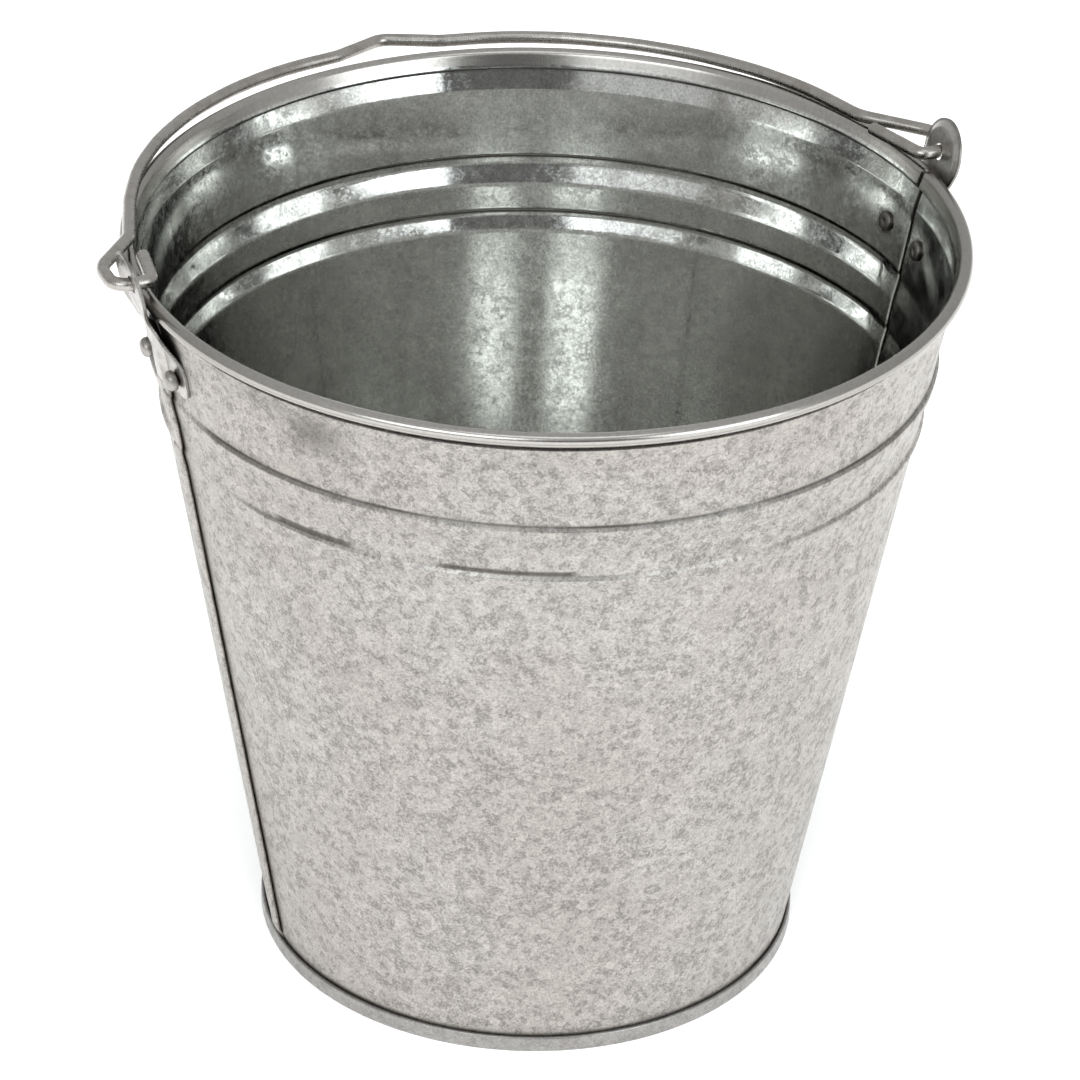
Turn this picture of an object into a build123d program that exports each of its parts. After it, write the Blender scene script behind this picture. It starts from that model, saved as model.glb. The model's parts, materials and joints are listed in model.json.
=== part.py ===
"""Galvanised sheet-steel feed bucket with a swinging wire bail.

The bucket stands on its chime. The origin is the centre of the ground circle, +Z is up,
the two ears are on the X axis, and the bail lies back towards +Y. Units are millimetres.
"""

import os
from math import atan, cos, degrees, radians, sin

from build123d import *

os.makedirs("parts", exist_ok=True)

# Driving dimensions -------------------------------------------------------------------------

# Body: two half shells of one sheet thickness, a cone with three swaged beads and a flared neck.
sheet = 0.5
total_height = 284.2
rim_radius = 150.0
cone_foot_radius = 97.41
cone_slope = 0.1724
lower_bead_low, lower_bead_crest, lower_bead_high = 213.0, 220.2, 222.4
lower_bead_rise = 1.3
upper_bead_low, upper_bead_crest, upper_bead_high = 231.5, 241.6, 243.8
upper_bead_rise = 1.5
rim_bead_low, rim_bead_crest, neck_height = 267.5, 275.4, 277.0
rim_bead_rise = 1.1
neck_radius = 143.97

# Rim: above the neck the sheet flares and is curled outward over a steel wire ring.
roll_radius = 2.5
rim_wire_radius = 1.75
curl_start_angle, curl_end_angle = 163.0, -120.0

# Foot: the base plate is double-seamed to the body.
chime_radius = 100.1
chime_height = 6.3
base_height = 8.0
base_ring_inner, base_ring_outer = 60.0, 74.0
base_ring_rise = 1.2
seam_gap = 0.03

# Grooved lock seams: four layers of sheet, folded into each other, on the X axis.
seam_half_angle = 1.15
fold_angle = 0.25
gap_angle = 0.03
lock_seam_low, lock_seam_high = 7.0, 264.0

# Ears: pressed lugs, each riveted over a seam, with a channel that clears it.
ear_sheet = 1.0
ear_low = 250.5
ear_leaves_wall = 263.5
ear_neck_high = 281.0
ear_neck_radius = 151.1
ear_top_radius = 155.7
ear_half_width = 20.0
ear_shoulder_high = 262.0
ear_waist_half_width = 11.4
ear_waist_high = 273.0
ear_tab_radius = 12.9
ear_tab_shift, ear_tab_drop = -1.3, 0.6
ear_hole_radius = 3.1
ear_gap = 0.05
channel_half_angle = 2.3
channel_rise = 1.75

# Rivets: two to an ear, with a high round head outside and a flat one inside.
rivet_height = 256.6
rivet_angle = 5.1
rivet_shank_radius = 2.0
rivet_hole_radius = 2.05
rivet_head_radius = 3.3
rivet_head_height = 4.0
rivet_tail_radius = 3.6
rivet_tail_height = 1.4
rivet_head_gap = 0.05

# Bail: one drawn wire, bent in a plane that passes through the hinge line.
hinge_height = 288.8
bail_wire_radius = 2.4
bail_rest_tilt = 1.4
bow_radius = 141.0
bow_centre = 14.8
bow_step = 11.0
hook_tip_right, hook_tip_left = (139.4, 26.0), (143.0, 19.5)
hook_bend_inner = 146.2
hook_bend_outer = 159.8
flare_outer_right, flare_inner_right = (159.5, 15.5), (139.6, 38.0)
flare_outer_left, flare_inner_left = (159.5, 15.5), (143.0, 34.5)
grip_half_width = 20.5
grip_peak = 162.6

# Derived dimensions -------------------------------------------------------------------------

roll_centre_radius = rim_radius - roll_radius
roll_centre_height = total_height - roll_radius
curl_inner_radius = roll_radius - sheet
layer = sheet + seam_gap
chime_wall_radius = chime_radius - 3 * sheet - 3 * seam_gap
wall_normal_tilt = degrees(atan(cone_slope))


def cone_radius(height):
    """Outer radius of the plain cone at a height."""
    return cone_foot_radius + cone_slope * height


# The wall's outer face, as (radius, height) from the foot to the neck under the rim.
wall_outline = [
    (chime_wall_radius, seam_gap + sheet),
    (chime_wall_radius, (chime_wall_radius - cone_foot_radius) / cone_slope),
    (cone_radius(lower_bead_low), lower_bead_low),
    (cone_radius(lower_bead_crest) + lower_bead_rise, lower_bead_crest),
    (cone_radius(lower_bead_high), lower_bead_high),
    (cone_radius(upper_bead_low), upper_bead_low),
    (cone_radius(upper_bead_crest) + upper_bead_rise, upper_bead_crest),
    (cone_radius(upper_bead_high), upper_bead_high),
    (cone_radius(rim_bead_low), rim_bead_low),
    (cone_radius(rim_bead_crest) + rim_bead_rise, rim_bead_crest),
    (neck_radius, neck_height),
]


def wall_radius(height):
    """Outer radius of the wall at a height, beads included."""
    for (low_radius, low), (high_radius, high) in zip(wall_outline, wall_outline[1:]):
        if low <= height <= high:
            return low_radius + (high_radius - low_radius) * (height - low) / (high - low)
    raise ValueError("height is off the wall")


def wall_line(low, high, shift):
    """The wall's outer face between two heights, moved outward by shift."""
    inside = [(radius + shift, height) for radius, height in wall_outline if low < height < high]
    return [(wall_radius(low) + shift, low)] + inside + [(wall_radius(high) + shift, high)]


def polar(centre, radius, angle):
    """A point on a circle in the radius-height plane."""
    return (centre[0] + radius * cos(radians(angle)), centre[1] + radius * sin(radians(angle)))


def radial_plane(angle):
    """The radius-height plane that stands at an angle about the bucket's axis."""
    return Plane.XZ.rotated((0, 0, angle))


def add_band(start_angle, end_angle, inner, outer):
    """Add one layer of a lock seam, between two offsets from the wall's outer face."""
    low_line = wall_line(lock_seam_low, lock_seam_high, inner)
    high_line = wall_line(lock_seam_low, lock_seam_high, outer)
    with BuildSketch(radial_plane(start_angle)) as band:
        with BuildLine():
            Polyline(*low_line, *reversed(high_line), close=True)
        make_face()
    revolve(band.sketch, axis=Axis.Z, revolution_arc=end_angle - start_angle)


def rivet_plane(angle):
    """Plane on the wall's outer face at a rivet, with its normal along the rivet."""
    direction = (
        cos(radians(angle)) * cos(radians(wall_normal_tilt)),
        sin(radians(angle)) * cos(radians(wall_normal_tilt)),
        -sin(radians(wall_normal_tilt)),
    )
    radius = wall_radius(rivet_height)
    point = (radius * cos(radians(angle)), radius * sin(radians(angle)), rivet_height)
    return Plane(origin=point, z_dir=direction)


# Body shells --------------------------------------------------------------------------------

roll_centre = (roll_centre_radius, roll_centre_height)
hook_radius = chime_radius - sheet - seam_gap
wall_foot = seam_gap + sheet
hook_top = chime_height - sheet - 2 * seam_gap
butt_angle = seam_half_angle + gap_angle
step_angle = butt_angle + fold_angle
flap_angle = seam_half_angle - fold_angle - gap_angle

with BuildPart() as front_shell:
    # The wall, with the hook at its foot and the curl at its rim, from seam to seam.
    with BuildSketch(radial_plane(-180 - seam_half_angle)) as wall_section:
        with BuildLine():
            outer_face = Polyline(
                (hook_radius, wall_foot),
                (hook_radius, hook_top),
                (hook_radius - sheet, hook_top),
                (hook_radius - sheet, wall_foot + sheet),
                (chime_wall_radius, wall_foot + sheet),
                *wall_outline[1:],
                polar(roll_centre, curl_inner_radius, curl_start_angle),
            )
            curl_sweep = curl_end_angle - curl_start_angle
            inner_curl = CenterArc(roll_centre, curl_inner_radius, curl_start_angle, curl_sweep)
            Line(inner_curl @ 1, polar(roll_centre, roll_radius, curl_end_angle))
            outer_curl = CenterArc(roll_centre, roll_radius, curl_start_angle, curl_sweep)
            Polyline(
                outer_curl @ 0,
                *reversed([(radius - sheet, height) for radius, height in wall_outline[1:]]),
                (chime_wall_radius - sheet, wall_foot),
                (hook_radius, wall_foot),
            )
        make_face()
    revolve(axis=Axis.Z, revolution_arc=180 + seam_half_angle - butt_angle)

    # Left seam: this shell lies underneath, and its edge is folded back outward.
    add_band(-180 - seam_half_angle, -180 - seam_half_angle + fold_angle, -sheet / 2, 2 * layer)
    add_band(-180 - seam_half_angle, -180 + flap_angle, 2 * layer - sheet, 2 * layer)

    # Right seam: this shell steps out, lies on top, and its edge is folded under.
    add_band(-step_angle, -butt_angle, -sheet / 2, 3 * layer)
    add_band(-step_angle, seam_half_angle, 3 * layer - sheet, 3 * layer)
    add_band(seam_half_angle - fold_angle, seam_half_angle, seam_gap, 3 * layer)
    add_band(-flap_angle, seam_half_angle, seam_gap, layer)

    for angle in (-rivet_angle, rivet_angle - 180):
        with Locations(rivet_plane(angle)):
            Cylinder(rivet_hole_radius, 6 * sheet, mode=Mode.SUBTRACT)

with BuildPart() as back_shell:
    add(front_shell.part.rotate(Axis.Z, 180))

# Rim wire -----------------------------------------------------------------------------------

with BuildPart() as rim_wire:
    with BuildSketch(Plane.XZ):
        with Locations(roll_centre):
            Circle(rim_wire_radius)
    revolve(axis=Axis.Z)

# Base plate ---------------------------------------------------------------------------------

base_inner = chime_wall_radius - 2 * sheet - seam_gap
base_hook = chime_wall_radius + seam_gap
base_hook_low = wall_foot + sheet + 5 * seam_gap
base_under = base_height - sheet
ring_flank = base_ring_rise * 2

with BuildPart() as base_plate:
    with BuildSketch(Plane.XZ):
        with BuildLine():
            Polyline(
                (0, base_under),
                (base_ring_inner, base_under),
                (base_ring_inner + ring_flank, base_under + base_ring_rise),
                (base_ring_outer - ring_flank, base_under + base_ring_rise),
                (base_ring_outer, base_under),
                (base_inner, base_under),
                (base_inner, 0),
                (chime_radius, 0),
                (chime_radius, chime_height),
                (base_hook, chime_height),
                (base_hook, base_hook_low),
                (base_hook + sheet, base_hook_low),
                (base_hook + sheet, chime_height - sheet),
                (chime_radius - sheet, chime_height - sheet),
                (chime_radius - sheet, sheet),
                (base_inner + sheet, sheet),
                (base_inner + sheet, base_height),
                (base_ring_outer, base_height),
                (base_ring_outer - ring_flank, base_height + base_ring_rise),
                (base_ring_inner + ring_flank, base_height + base_ring_rise),
                (base_ring_inner, base_height),
                (0, base_height),
                close=True,
            )
        make_face()
    revolve(axis=Axis.Z)

# Ears ---------------------------------------------------------------------------------------

ear_tab_centre = (ear_tab_shift, hinge_height - ear_tab_drop)
ear_top = ear_tab_centre[1] + ear_tab_radius
ear_half_angle = degrees(ear_half_width / wall_radius(ear_low)) + 1


def ear_line(rise):
    """Inner face of an ear in the radius-height plane, its foot lifted off the wall by rise."""
    foot = wall_line(ear_low, ear_leaves_wall, ear_gap + rise)
    return foot + [(ear_neck_radius, ear_neck_high), (ear_top_radius, ear_top + 1)]


def add_ear_sector(start_angle, end_angle, inner_rise, outer_rise):
    """Add a sector of an ear, from one face line out to another plus the sheet."""
    inner = ear_line(inner_rise)
    outer = [(radius + ear_sheet, height) for radius, height in ear_line(outer_rise)]
    with BuildSketch(radial_plane(start_angle)) as section:
        with BuildLine():
            Polyline(*inner, *reversed(outer), close=True)
        make_face()
    revolve(section.sketch, axis=Axis.Z, revolution_arc=end_angle - start_angle)


channel_wall_angle = channel_half_angle + 0.5

with BuildPart() as right_ear:
    # Two flanges on the wall, and the channel between them over the seam.
    add_ear_sector(-ear_half_angle, -channel_half_angle, 0, 0)
    add_ear_sector(channel_half_angle, ear_half_angle, 0, 0)
    add_ear_sector(-channel_half_angle, channel_half_angle, channel_rise, channel_rise)
    add_ear_sector(-channel_wall_angle, -channel_half_angle, 0, channel_rise)
    add_ear_sector(channel_half_angle, channel_wall_angle, 0, channel_rise)

    # The blank's outline: a wide foot with round corners, a waist and a round tab.
    with BuildSketch(Plane.YZ) as blank:
        with BuildLine():
            FilletPolyline(
                (-ear_half_width, ear_low),
                (ear_half_width, ear_low),
                (ear_half_width, ear_shoulder_high),
                (ear_waist_half_width, ear_waist_high),
                (ear_tab_shift + ear_tab_radius, ear_tab_centre[1]),
                (ear_tab_shift - ear_tab_radius, ear_tab_centre[1]),
                (-ear_waist_half_width, ear_waist_high),
                (-ear_half_width, ear_shoulder_high),
                radius=[4, 4, 6, 12, 0.5, 0.5, 12, 6],
                close=True,
            )
        make_face()
        with Locations(ear_tab_centre):
            Circle(ear_tab_radius)
        with Locations((0, hinge_height)):
            Circle(ear_hole_radius, mode=Mode.SUBTRACT)
    extrude(blank.sketch, amount=rim_radius + 20, mode=Mode.INTERSECT)

    for angle in (-rivet_angle, rivet_angle):
        with Locations(rivet_plane(angle)):
            Cylinder(rivet_hole_radius, 4 * ear_sheet, mode=Mode.SUBTRACT)

with BuildPart() as left_ear:
    add(mirror(right_ear.part, about=Plane.YZ))

# Rivets -------------------------------------------------------------------------------------

head_start = ear_gap + ear_sheet + rivet_head_gap
tail_start = -sheet - rivet_head_gap


def make_rivet(angle):
    """A rivet through ear and wall: round head outside, shank, flat head inside."""
    plane = rivet_plane(angle)
    with BuildPart() as rivet:
        with BuildSketch(plane.offset(head_start)):
            Circle(rivet_head_radius)
        extrude(amount=rivet_head_height)
        top_edge = rivet.faces().sort_by(Axis(plane.origin, plane.z_dir))[-1].edges()
        fillet(top_edge, radius=1.6)
        with BuildSketch(plane.offset(tail_start)):
            Circle(rivet_tail_radius)
        extrude(amount=-rivet_tail_height)
        tail_edge = rivet.faces().sort_by(Axis(plane.origin, plane.z_dir))[0].edges()
        fillet(tail_edge, radius=0.6)
        with BuildSketch(plane.offset(tail_start)):
            Circle(rivet_shank_radius)
        extrude(amount=head_start - tail_start)
    return rivet


rivets = {
    "right_front_rivet": make_rivet(-rivet_angle),
    "right_back_rivet": make_rivet(rivet_angle),
    "left_front_rivet": make_rivet(180 + rivet_angle),
    "left_back_rivet": make_rivet(180 - rivet_angle),
}

# Bail ---------------------------------------------------------------------------------------


def bow_vertices(first_angle, last_angle):
    """Corners of the polygon whose rounding is the bow's arc, anticlockwise."""
    count = round((last_angle - first_angle) / bow_step)
    step = (last_angle - first_angle) / count
    reach = bow_radius / cos(radians(step / 2))
    angles = [first_angle + step * (index + 0.5) for index in range(count)]
    return [polar((0, bow_centre), reach, angle) for angle in angles]


hook_radii = [3.6, 6.0, 13.0, 16.0]
grip_corner = (bow_radius**2 - grip_half_width**2) ** 0.5 + bow_centre - 0.6
grip_angle = degrees(atan(grip_half_width / bow_radius))
right_bow = bow_vertices(16, 90 - grip_angle - 5)
left_bow = bow_vertices(90 + grip_angle + 5, 165)
bow_rounding = 0.8 * bow_radius

bail_vertices = [
    hook_tip_right,
    (hook_bend_inner, 0),
    (hook_bend_outer, 0),
    flare_outer_right,
    flare_inner_right,
    *right_bow,
    (grip_half_width, grip_corner),
    (0, grip_peak),
    (-grip_half_width, grip_corner),
    *left_bow,
    (-flare_inner_left[0], flare_inner_left[1]),
    (-flare_outer_left[0], flare_outer_left[1]),
    (-hook_bend_outer, 0),
    (-hook_bend_inner, 0),
    (-hook_tip_left[0], hook_tip_left[1]),
]
bail_radii = [
    *hook_radii,
    *[bow_rounding] * len(right_bow),
    16,
    9,
    16,
    *[bow_rounding] * len(left_bow),
    *reversed(hook_radii),
]

bail_plane = Plane(
    origin=(0, 0, hinge_height),
    x_dir=(1, 0, 0),
    z_dir=(0, sin(radians(bail_rest_tilt)), cos(radians(bail_rest_tilt))),
)

with BuildPart() as bail:
    with BuildLine(bail_plane) as bail_path:
        FilletPolyline(*bail_vertices, radius=bail_radii)
    with BuildSketch(Plane(origin=bail_path.line @ 0, z_dir=bail_path.line % 0)):
        Circle(bail_wire_radius)
    sweep(path=bail_path.line)

# Export -------------------------------------------------------------------------------------

pieces = {
    "front_shell": front_shell,
    "back_shell": back_shell,
    "rim_wire": rim_wire,
    "base_plate": base_plate,
    "right_ear": right_ear,
    "left_ear": left_ear,
    **rivets,
    "bail": bail,
}
for name, piece in pieces.items():
    piece.part.label = name
    export_step(piece.part, f"parts/{name}.step")
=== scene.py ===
"""Galvanised feed bucket: sheets, seams, wires and rivets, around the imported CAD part.

Lengths are in millimetres until a mesh is made. The origin is the centre of the ground
circle, +Z is up, the ears are on the X axis and the bail lies back towards +Y.
"""

import json
from math import atan, cos, pi, radians, sin, tan

import bmesh
import bpy
import numpy as np
from mathutils import Matrix, Vector


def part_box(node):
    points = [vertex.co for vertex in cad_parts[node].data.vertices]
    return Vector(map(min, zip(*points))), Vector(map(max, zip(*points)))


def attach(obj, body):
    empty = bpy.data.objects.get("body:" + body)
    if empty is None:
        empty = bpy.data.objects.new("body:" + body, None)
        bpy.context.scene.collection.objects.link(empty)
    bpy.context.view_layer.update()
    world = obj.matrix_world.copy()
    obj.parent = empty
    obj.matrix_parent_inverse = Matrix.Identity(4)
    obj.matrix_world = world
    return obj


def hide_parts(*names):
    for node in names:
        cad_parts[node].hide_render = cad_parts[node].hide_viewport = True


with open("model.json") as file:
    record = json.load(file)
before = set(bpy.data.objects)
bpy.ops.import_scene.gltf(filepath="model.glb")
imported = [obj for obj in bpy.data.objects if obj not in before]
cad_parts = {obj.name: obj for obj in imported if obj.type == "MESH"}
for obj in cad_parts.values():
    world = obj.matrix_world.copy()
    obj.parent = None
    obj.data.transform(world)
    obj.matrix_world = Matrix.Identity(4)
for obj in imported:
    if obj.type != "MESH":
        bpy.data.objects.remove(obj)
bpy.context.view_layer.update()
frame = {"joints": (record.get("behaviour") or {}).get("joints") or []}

MM = 0.001
HINGE_HEIGHT = frame["joints"][0]["pos_m"][2] / MM

# Body dimensions: the CAD part's, with the beads and neck fitted a little closer.
SHEET = 0.5
RIM_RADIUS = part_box("front_shell")[0].y / -MM
RIM_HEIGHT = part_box("front_shell")[1].z / MM
CONE_FOOT_RADIUS = 97.41
CONE_SLOPE = 0.1724
# Each bead: heights where it starts, is full, starts to drop and ends, and how far it stands out.
BEADS = ((214.0, 219.7, 221.2, 222.7, 1.25), (232.4, 239.9, 242.5, 244.0, 1.5))
BETWEEN_BEADS = 228
RIM_BEAD_LOW, RIM_BEAD_CREST, NECK_HEIGHT = 269.0, 276.6, 277.7
RIM_BEAD_RADIUS, NECK_RADIUS = 146.0, 143.97
CURL_START, CURL_END = 163.0, -120.0
ROLL_RADIUS = 2.5
CHIME_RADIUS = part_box("base_plate")[1].x / MM
CHIME_WALL_RADIUS = 98.51
LAYER = 0.53
BASE_HEIGHT = 7.75
WALL_TILT = atan(CONE_SLOPE)
RIVET_HEIGHT = 256.6
RIVET_ANGLE = radians(5.1)


def smooth(t):
    """A step from 0 to 1 with level ends."""
    t = np.clip(t, 0, 1)
    return t * t * (3 - 2 * t)


def spans(*pieces):
    """Join ranges given as (start, end, step), without repeating the joins."""
    parts = [np.arange(start, end - step * 0.01, step) for start, end, step in pieces]
    return np.concatenate(parts + [[pieces[-1][1]]])


def bead_rise(height):
    """How far the two beads stand out from the cone at a height."""
    return sum(
        np.interp(height, (low, crest, brink, high), (0, rise, rise, 0))
        for low, crest, brink, high, rise in BEADS
    )


def bead_fade(angle, height):
    """Share of the beads' height that is left near the seams, where the layers flatten them."""
    bead_radius, seam_reach, least = 130, 5, 0.35
    from_seam = bead_radius * np.arcsin(np.abs(np.sin(angle)))
    right, front, lower = np.cos(angle) > 0, np.sin(angle) < 0, height < BETWEEN_BEADS
    reach = np.where(front, np.where(right | lower, 55, 34), np.where(right, 4, 16))
    share = smooth((from_seam - seam_reach) / reach)
    return least + (1 - least) * np.where(front, share**2, share)


def wall_radius(height):
    """Outer radius of the wall at a height, with its beads and the neck under the rim."""
    height = np.asarray(height, float)
    wall = np.maximum(CONE_FOOT_RADIUS + CONE_SLOPE * height, CHIME_WALL_RADIUS)
    wall = wall + bead_rise(height)
    rim_bead_foot = CONE_FOOT_RADIUS + CONE_SLOPE * RIM_BEAD_LOW
    curl_inside = ROLL_RADIUS - SHEET
    curl_radius = RIM_RADIUS - ROLL_RADIUS + curl_inside * cos(radians(CURL_START))
    curl_height = RIM_HEIGHT - ROLL_RADIUS + curl_inside * sin(radians(CURL_START))
    neck = np.interp(
        height,
        (RIM_BEAD_LOW, RIM_BEAD_CREST, NECK_HEIGHT, curl_height),
        (rim_bead_foot, RIM_BEAD_RADIUS, NECK_RADIUS, curl_radius),
    )
    return np.where(height > RIM_BEAD_LOW, neck, wall)


def dents(angle, height):
    """Small unevenness of the drawn sheet, which dies out at the rim, chime and ears."""
    wave = (
        0.06 * np.sin(3 * angle + 0.021 * height + 0.7)
        + 0.015 * np.sin(7 * angle - 0.034 * height + 2.1)
        + 0.010 * np.sin(13 * angle + 0.055 * height + 4.0)
    )
    ends = smooth((height - 12) / 40) * smooth((266 - height) / 20)
    ears = 1 - (1 - smooth((np.abs(np.sin(angle)) - 0.12) / 0.2)) * smooth((height - 215) / 30)
    return wave * ends * ears


# Mesh helpers -------------------------------------------------------------------------------


def add_piece(name, points, faces, body, nodes, materials, face_slots=None, crease=40):
    """Make a closed mesh from points in millimetres, parent it to its body and hide the CAD parts
    it stands for.
    """
    mesh = bpy.data.meshes.new(name)
    mesh.from_pydata([tuple(p) for p in np.asarray(points) * MM], [], faces)
    for material in materials:
        mesh.materials.append(material)
    if face_slots is not None:
        mesh.polygons.foreach_set("material_index", face_slots)
    shaped = bmesh.new()
    shaped.from_mesh(mesh)
    loose = [vertex for vertex in shaped.verts if not vertex.link_faces]
    bmesh.ops.delete(shaped, geom=loose, context="VERTS")
    bmesh.ops.recalc_face_normals(shaped, faces=shaped.faces)
    shaped.to_mesh(mesh)
    shaped.free()
    mesh.shade_smooth()
    mesh.set_sharp_from_angle(angle=radians(crease))
    piece = bpy.data.objects.new(name, mesh)
    bpy.context.scene.collection.objects.link(piece)
    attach(piece, body)
    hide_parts(*nodes)
    return piece


def vertex_places(piece):
    """The x, y and z of a piece's vertices, in millimetres."""
    place = np.empty(len(piece.data.vertices) * 3, np.float32)
    piece.data.vertices.foreach_get("co", place)
    return place.reshape(-1, 3).T / MM


def sheet_faces(present, wrap):
    """Faces of a sheet made of an outer and an inner lattice, with a wall at every edge."""
    cell_rows, cell_columns = present.shape
    rows = cell_rows + 1
    columns = cell_columns if wrap else cell_columns + 1
    count = rows * columns
    faces, sides = [], []

    def here(i, j):
        return i * columns + j % columns

    for i, j in zip(*np.nonzero(present)):
        a, b, c, d = here(i, j), here(i, j + 1), here(i + 1, j + 1), here(i + 1, j)
        faces.append((a, b, c, d))
        sides.append(0)
        faces.append((count + d, count + c, count + b, count + a))
        sides.append(1)
        left = (j - 1) % cell_columns if wrap else j - 1
        right = (j + 1) % cell_columns if wrap else j + 1
        if i == 0 or not present[i - 1, j]:
            faces.append((b, a, count + a, count + b))
            sides.append(0)
        if i == cell_rows - 1 or not present[i + 1, j]:
            faces.append((d, c, count + c, count + d))
            sides.append(0)
        if left < 0 or not present[i, left]:
            faces.append((a, d, count + d, count + a))
            sides.append(0)
        if right >= cell_columns or not present[i, right]:
            faces.append((c, b, count + b, count + c))
            sides.append(0)
    return faces, sides


def path_normals(path):
    """Unit normals on the right-hand side of a path in the radius-height plane."""
    tangent = np.gradient(path, axis=0)
    tangent /= np.linalg.norm(tangent, axis=1, keepdims=True)
    return np.stack([tangent[:, 1], -tangent[:, 0]], axis=1)


def arc(centre, radius, start, end, count):
    """Points on an arc, with its angles in degrees."""
    angles = np.radians(np.linspace(start, end, count))
    return np.stack([centre[0] + radius * np.cos(angles), centre[1] + radius * np.sin(angles)], 1)


def turned(radius, height, angle):
    """Points at a radius, height and angle about the bucket's axis."""
    return np.stack([radius * np.cos(angle), radius * np.sin(angle), height + 0 * radius], -1)


def rounded(vertices, radii, closed=False, step=1.0):
    """A path through vertices whose corners are rounded, resampled at about one step."""
    vertices = np.asarray(vertices, float)
    count = len(vertices)
    points = []
    for index, corner in enumerate(vertices):
        if not closed and index in (0, count - 1):
            points.append(corner[None])
            continue
        back = vertices[index - 1] - corner
        ahead = vertices[(index + 1) % count] - corner
        back /= np.linalg.norm(back)
        ahead /= np.linalg.norm(ahead)
        half = np.arccos(np.clip(back @ ahead, -1, 1)) / 2
        reach = radii[index] / tan(half)
        centre = corner + (back + ahead) / np.linalg.norm(back + ahead) * radii[index] / sin(half)
        first, last = corner + back * reach - centre, corner + ahead * reach - centre
        sweep = pi - 2 * half
        steps = max(2, int(sweep * radii[index] / step * 2) + 2)
        t = np.linspace(0, 1, steps)[:, None]
        points.append(
            centre + (np.sin((1 - t) * sweep) * first + np.sin(t * sweep) * last) / np.sin(sweep)
        )
    line = np.concatenate(points)
    if closed:
        line = np.concatenate([line, line[:1]])
    gaps = np.linalg.norm(np.diff(line, axis=0), axis=1)
    line = line[np.concatenate([[True], gaps > 1e-6])]
    along = np.concatenate([[0], np.cumsum(np.linalg.norm(np.diff(line, axis=0), axis=1))])
    samples = np.linspace(0, along[-1], int(along[-1] / step) + 1)
    return np.stack([np.interp(samples, along, line[:, k]) for k in range(line.shape[1])], 1)


# Materials ----------------------------------------------------------------------------------


class Nodes:
    """Short calls for building one material."""

    def __init__(self, name):
        self.material = bpy.data.materials.new(name)
        self.material.use_nodes = True
        self.tree = self.material.node_tree
        self.shader = self.tree.nodes["Principled BSDF"]
        self.where = self.tree.nodes.new("ShaderNodeTexCoord").outputs["Object"]

    def put(self, socket, value):
        if isinstance(value, bpy.types.NodeSocket):
            self.tree.links.new(value, socket)
        else:
            socket.default_value = value

    def noise(self, scale, detail=2.0, roughness=0.5, where=None, colour=False):
        node = self.tree.nodes.new("ShaderNodeTexNoise")
        self.put(node.inputs["Vector"], where or self.where)
        node.inputs["Scale"].default_value = scale
        node.inputs["Detail"].default_value = detail
        node.inputs["Roughness"].default_value = roughness
        return node.outputs["Color" if colour else "Fac"]

    def cells(self, size, where):
        node = self.tree.nodes.new("ShaderNodeTexVoronoi")
        self.put(node.inputs["Vector"], where)
        node.inputs["Scale"].default_value = 1 / (size * MM)
        return node.outputs["Color"]

    def math(self, operation, first, second=0.0):
        node = self.tree.nodes.new("ShaderNodeMath")
        node.operation = operation
        self.put(node.inputs[0], first)
        self.put(node.inputs[1], second)
        return node.outputs[0]

    def vector(self, operation, first, second=(0, 0, 0), scale=None):
        node = self.tree.nodes.new("ShaderNodeVectorMath")
        node.operation = operation
        self.put(node.inputs[0], first)
        if scale is None:
            self.put(node.inputs[1], second)
        else:
            self.put(node.inputs["Scale"], scale)
        return node.outputs["Vector"]

    def ramp(self, value, low, high, start=0.0, end=1.0):
        node = self.tree.nodes.new("ShaderNodeMapRange")
        node.interpolation_type = "SMOOTHSTEP"
        self.put(node.inputs["Value"], value)
        limits = {"From Min": low, "From Max": high, "To Min": start, "To Max": end}
        for key, number in limits.items():
            self.put(node.inputs[key], number)
        return node.outputs["Result"]

    def mix(self, amount, first, second):
        node = self.tree.nodes.new("ShaderNodeMix")
        node.data_type = "RGBA"
        self.put(node.inputs["Factor"], amount)
        self.put(node.inputs["A"], first)
        self.put(node.inputs["B"], second)
        return node.outputs["Result"]

    def warped(self, scale, reach):
        """Object coordinates pushed about by noise."""
        push = self.vector("SUBTRACT", self.noise(scale, 2, 0.6, colour=True), (0.5, 0.5, 0.5))
        return self.vector("ADD", self.where, self.vector("SCALE", push, scale=reach * MM))

    def attribute(self, name):
        node = self.tree.nodes.new("ShaderNodeAttribute")
        node.attribute_name = name
        return node.outputs["Fac"]

    def bump(self, height, distance):
        node = self.tree.nodes.new("ShaderNodeBump")
        node.inputs["Strength"].default_value = 0.6
        node.inputs["Distance"].default_value = distance * MM
        self.put(node.inputs["Height"], height)
        return node.outputs["Normal"]

    def finish(self, colour, roughness, normal):
        self.shader.inputs["Metallic"].default_value = 1.0
        self.put(self.shader.inputs["Base Color"], colour)
        self.put(self.shader.inputs["Roughness"], roughness)
        self.put(self.shader.inputs["Normal"], normal)
        return self.material


def grey(level, warm=0.0, green=0.0):
    """A near-neutral colour: warm tips it to red, green to green."""
    return (level * (1 + warm), level * (1 + green), level * (1 - warm), 1)


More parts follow.
